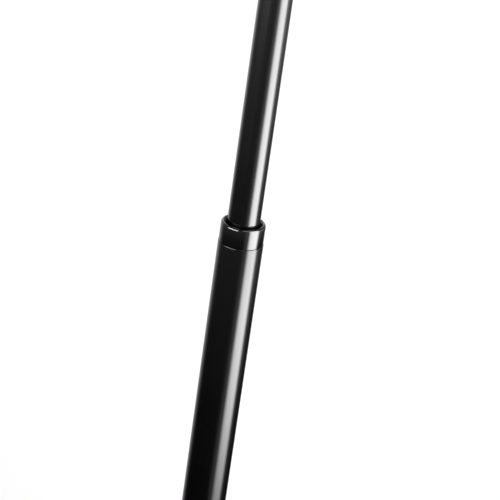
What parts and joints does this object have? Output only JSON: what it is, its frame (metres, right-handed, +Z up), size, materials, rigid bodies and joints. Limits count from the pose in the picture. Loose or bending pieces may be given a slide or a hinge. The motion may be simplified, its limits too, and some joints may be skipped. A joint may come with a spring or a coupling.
{
  "type": "music stand",
  "caption": "Free-standing music stand: tripod base of bent tubes, base tube with collar, telescopic mast held by a friction clutch, tilting sheet-metal desk with ledge.",
  "frame": {"origin": "on the floor, at the centre of the footprint and of the bounding box", "axes": "+Z up, the musician stands at -Y and faces +Y, +X to the musician's right; the column is parallel to Z at X = 0, Y = -0.064"},
  "size_m": [0.508, 0.4129, 1.3047],
  "materials": {
    "powder_coat": "black fine-texture powder coat on castings, bent tube and pressed steel",
    "desk_coat": "black fine-texture powder coat on sheet aluminium",
    "tube_paint": "smooth satin black stove enamel on drawn steel tube",
    "collar_moulding": "polished black injection moulding",
    "foot_rubber": "matt black moulded rubber",
    "nylon": "natural white nylon",
    "shoe_moulding": "brown fibre-filled friction moulding",
    "zinc_plate": "bright zinc plate on steel",
    "spring_steel": "bare oiled spring steel",
    "black_rivet": "semi-gloss black enamel on steel rivets",
    "red_fibre": "vulcanised red fibre"
  },
  "bodies": {
    "base": {"base_hub": "powder_coat", "back_leg": "powder_coat", "left_leg": "powder_coat", "right_leg": "powder_coat", "back_leg_screw": "zinc_plate", "left_leg_screw": "zinc_plate", "right_leg_screw": "zinc_plate", "back_foot": "foot_rubber", "left_foot": "foot_rubber", "right_foot": "foot_rubber", "base_plug": "zinc_plate", "base_washer": "zinc_plate", "base_bolt": "zinc_plate", "base_tube": "tube_paint", "collar": "collar_moulding", "guide_bush": "nylon"},
    "clutch": {"clutch_shoe_left": "shoe_moulding", "clutch_shoe_right": "shoe_moulding"},
    "mast": {"mast": "tube_paint", "mast_end_plug": "zinc_plate", "end_plug_pin": "spring_steel", "clutch_spindle": "zinc_plate", "clutch_thrust_washer": "nylon", "clutch_upper_cone": "zinc_plate", "clutch_lower_cone": "zinc_plate", "clutch_spring": "spring_steel", "clutch_spring_washer": "zinc_plate", "clutch_nut": "zinc_plate", "neck": "powder_coat", "neck_pin": "spring_steel"},
    "desk": {"tilt_bolt": "zinc_plate", "tilt_nut": "zinc_plate", "tilt_washer_left": "zinc_plate", "tilt_washer_right": "zinc_plate", "friction_washer_left": "red_fibre", "friction_washer_right": "red_fibre", "desk_bracket": "powder_coat", "desk_panel": "desk_coat", "ledge": "desk_coat", "bracket_rivet_upper_left": "black_rivet", "bracket_rivet_upper_right": "black_rivet", "bracket_rivet_lower_left": "black_rivet", "bracket_rivet_lower_right": "black_rivet", "ledge_rivet_1": "black_rivet", "ledge_rivet_2": "black_rivet", "ledge_rivet_3": "black_rivet", "ledge_rivet_4": "black_rivet", "ledge_rivet_5": "black_rivet"}
  },
  "joints": [
    {"name": "height_slide", "type": "slide", "parent": "base", "child": "clutch", "axis": [0, 0, 1], "range_m": [-0.33, 0.16]},
    {"name": "mast_swivel", "type": "hinge", "parent": "clutch", "child": "mast", "pos_m": [0, -0.064, 0.5], "axis": [0, 0, 1], "continuous": true},
    {"name": "desk_tilt", "type": "hinge", "parent": "mast", "child": "desk", "pos_m": [0, -0.064, 1.1202], "axis": [-1, 0, 0], "range_deg": [-25, 65]}
  ]
}
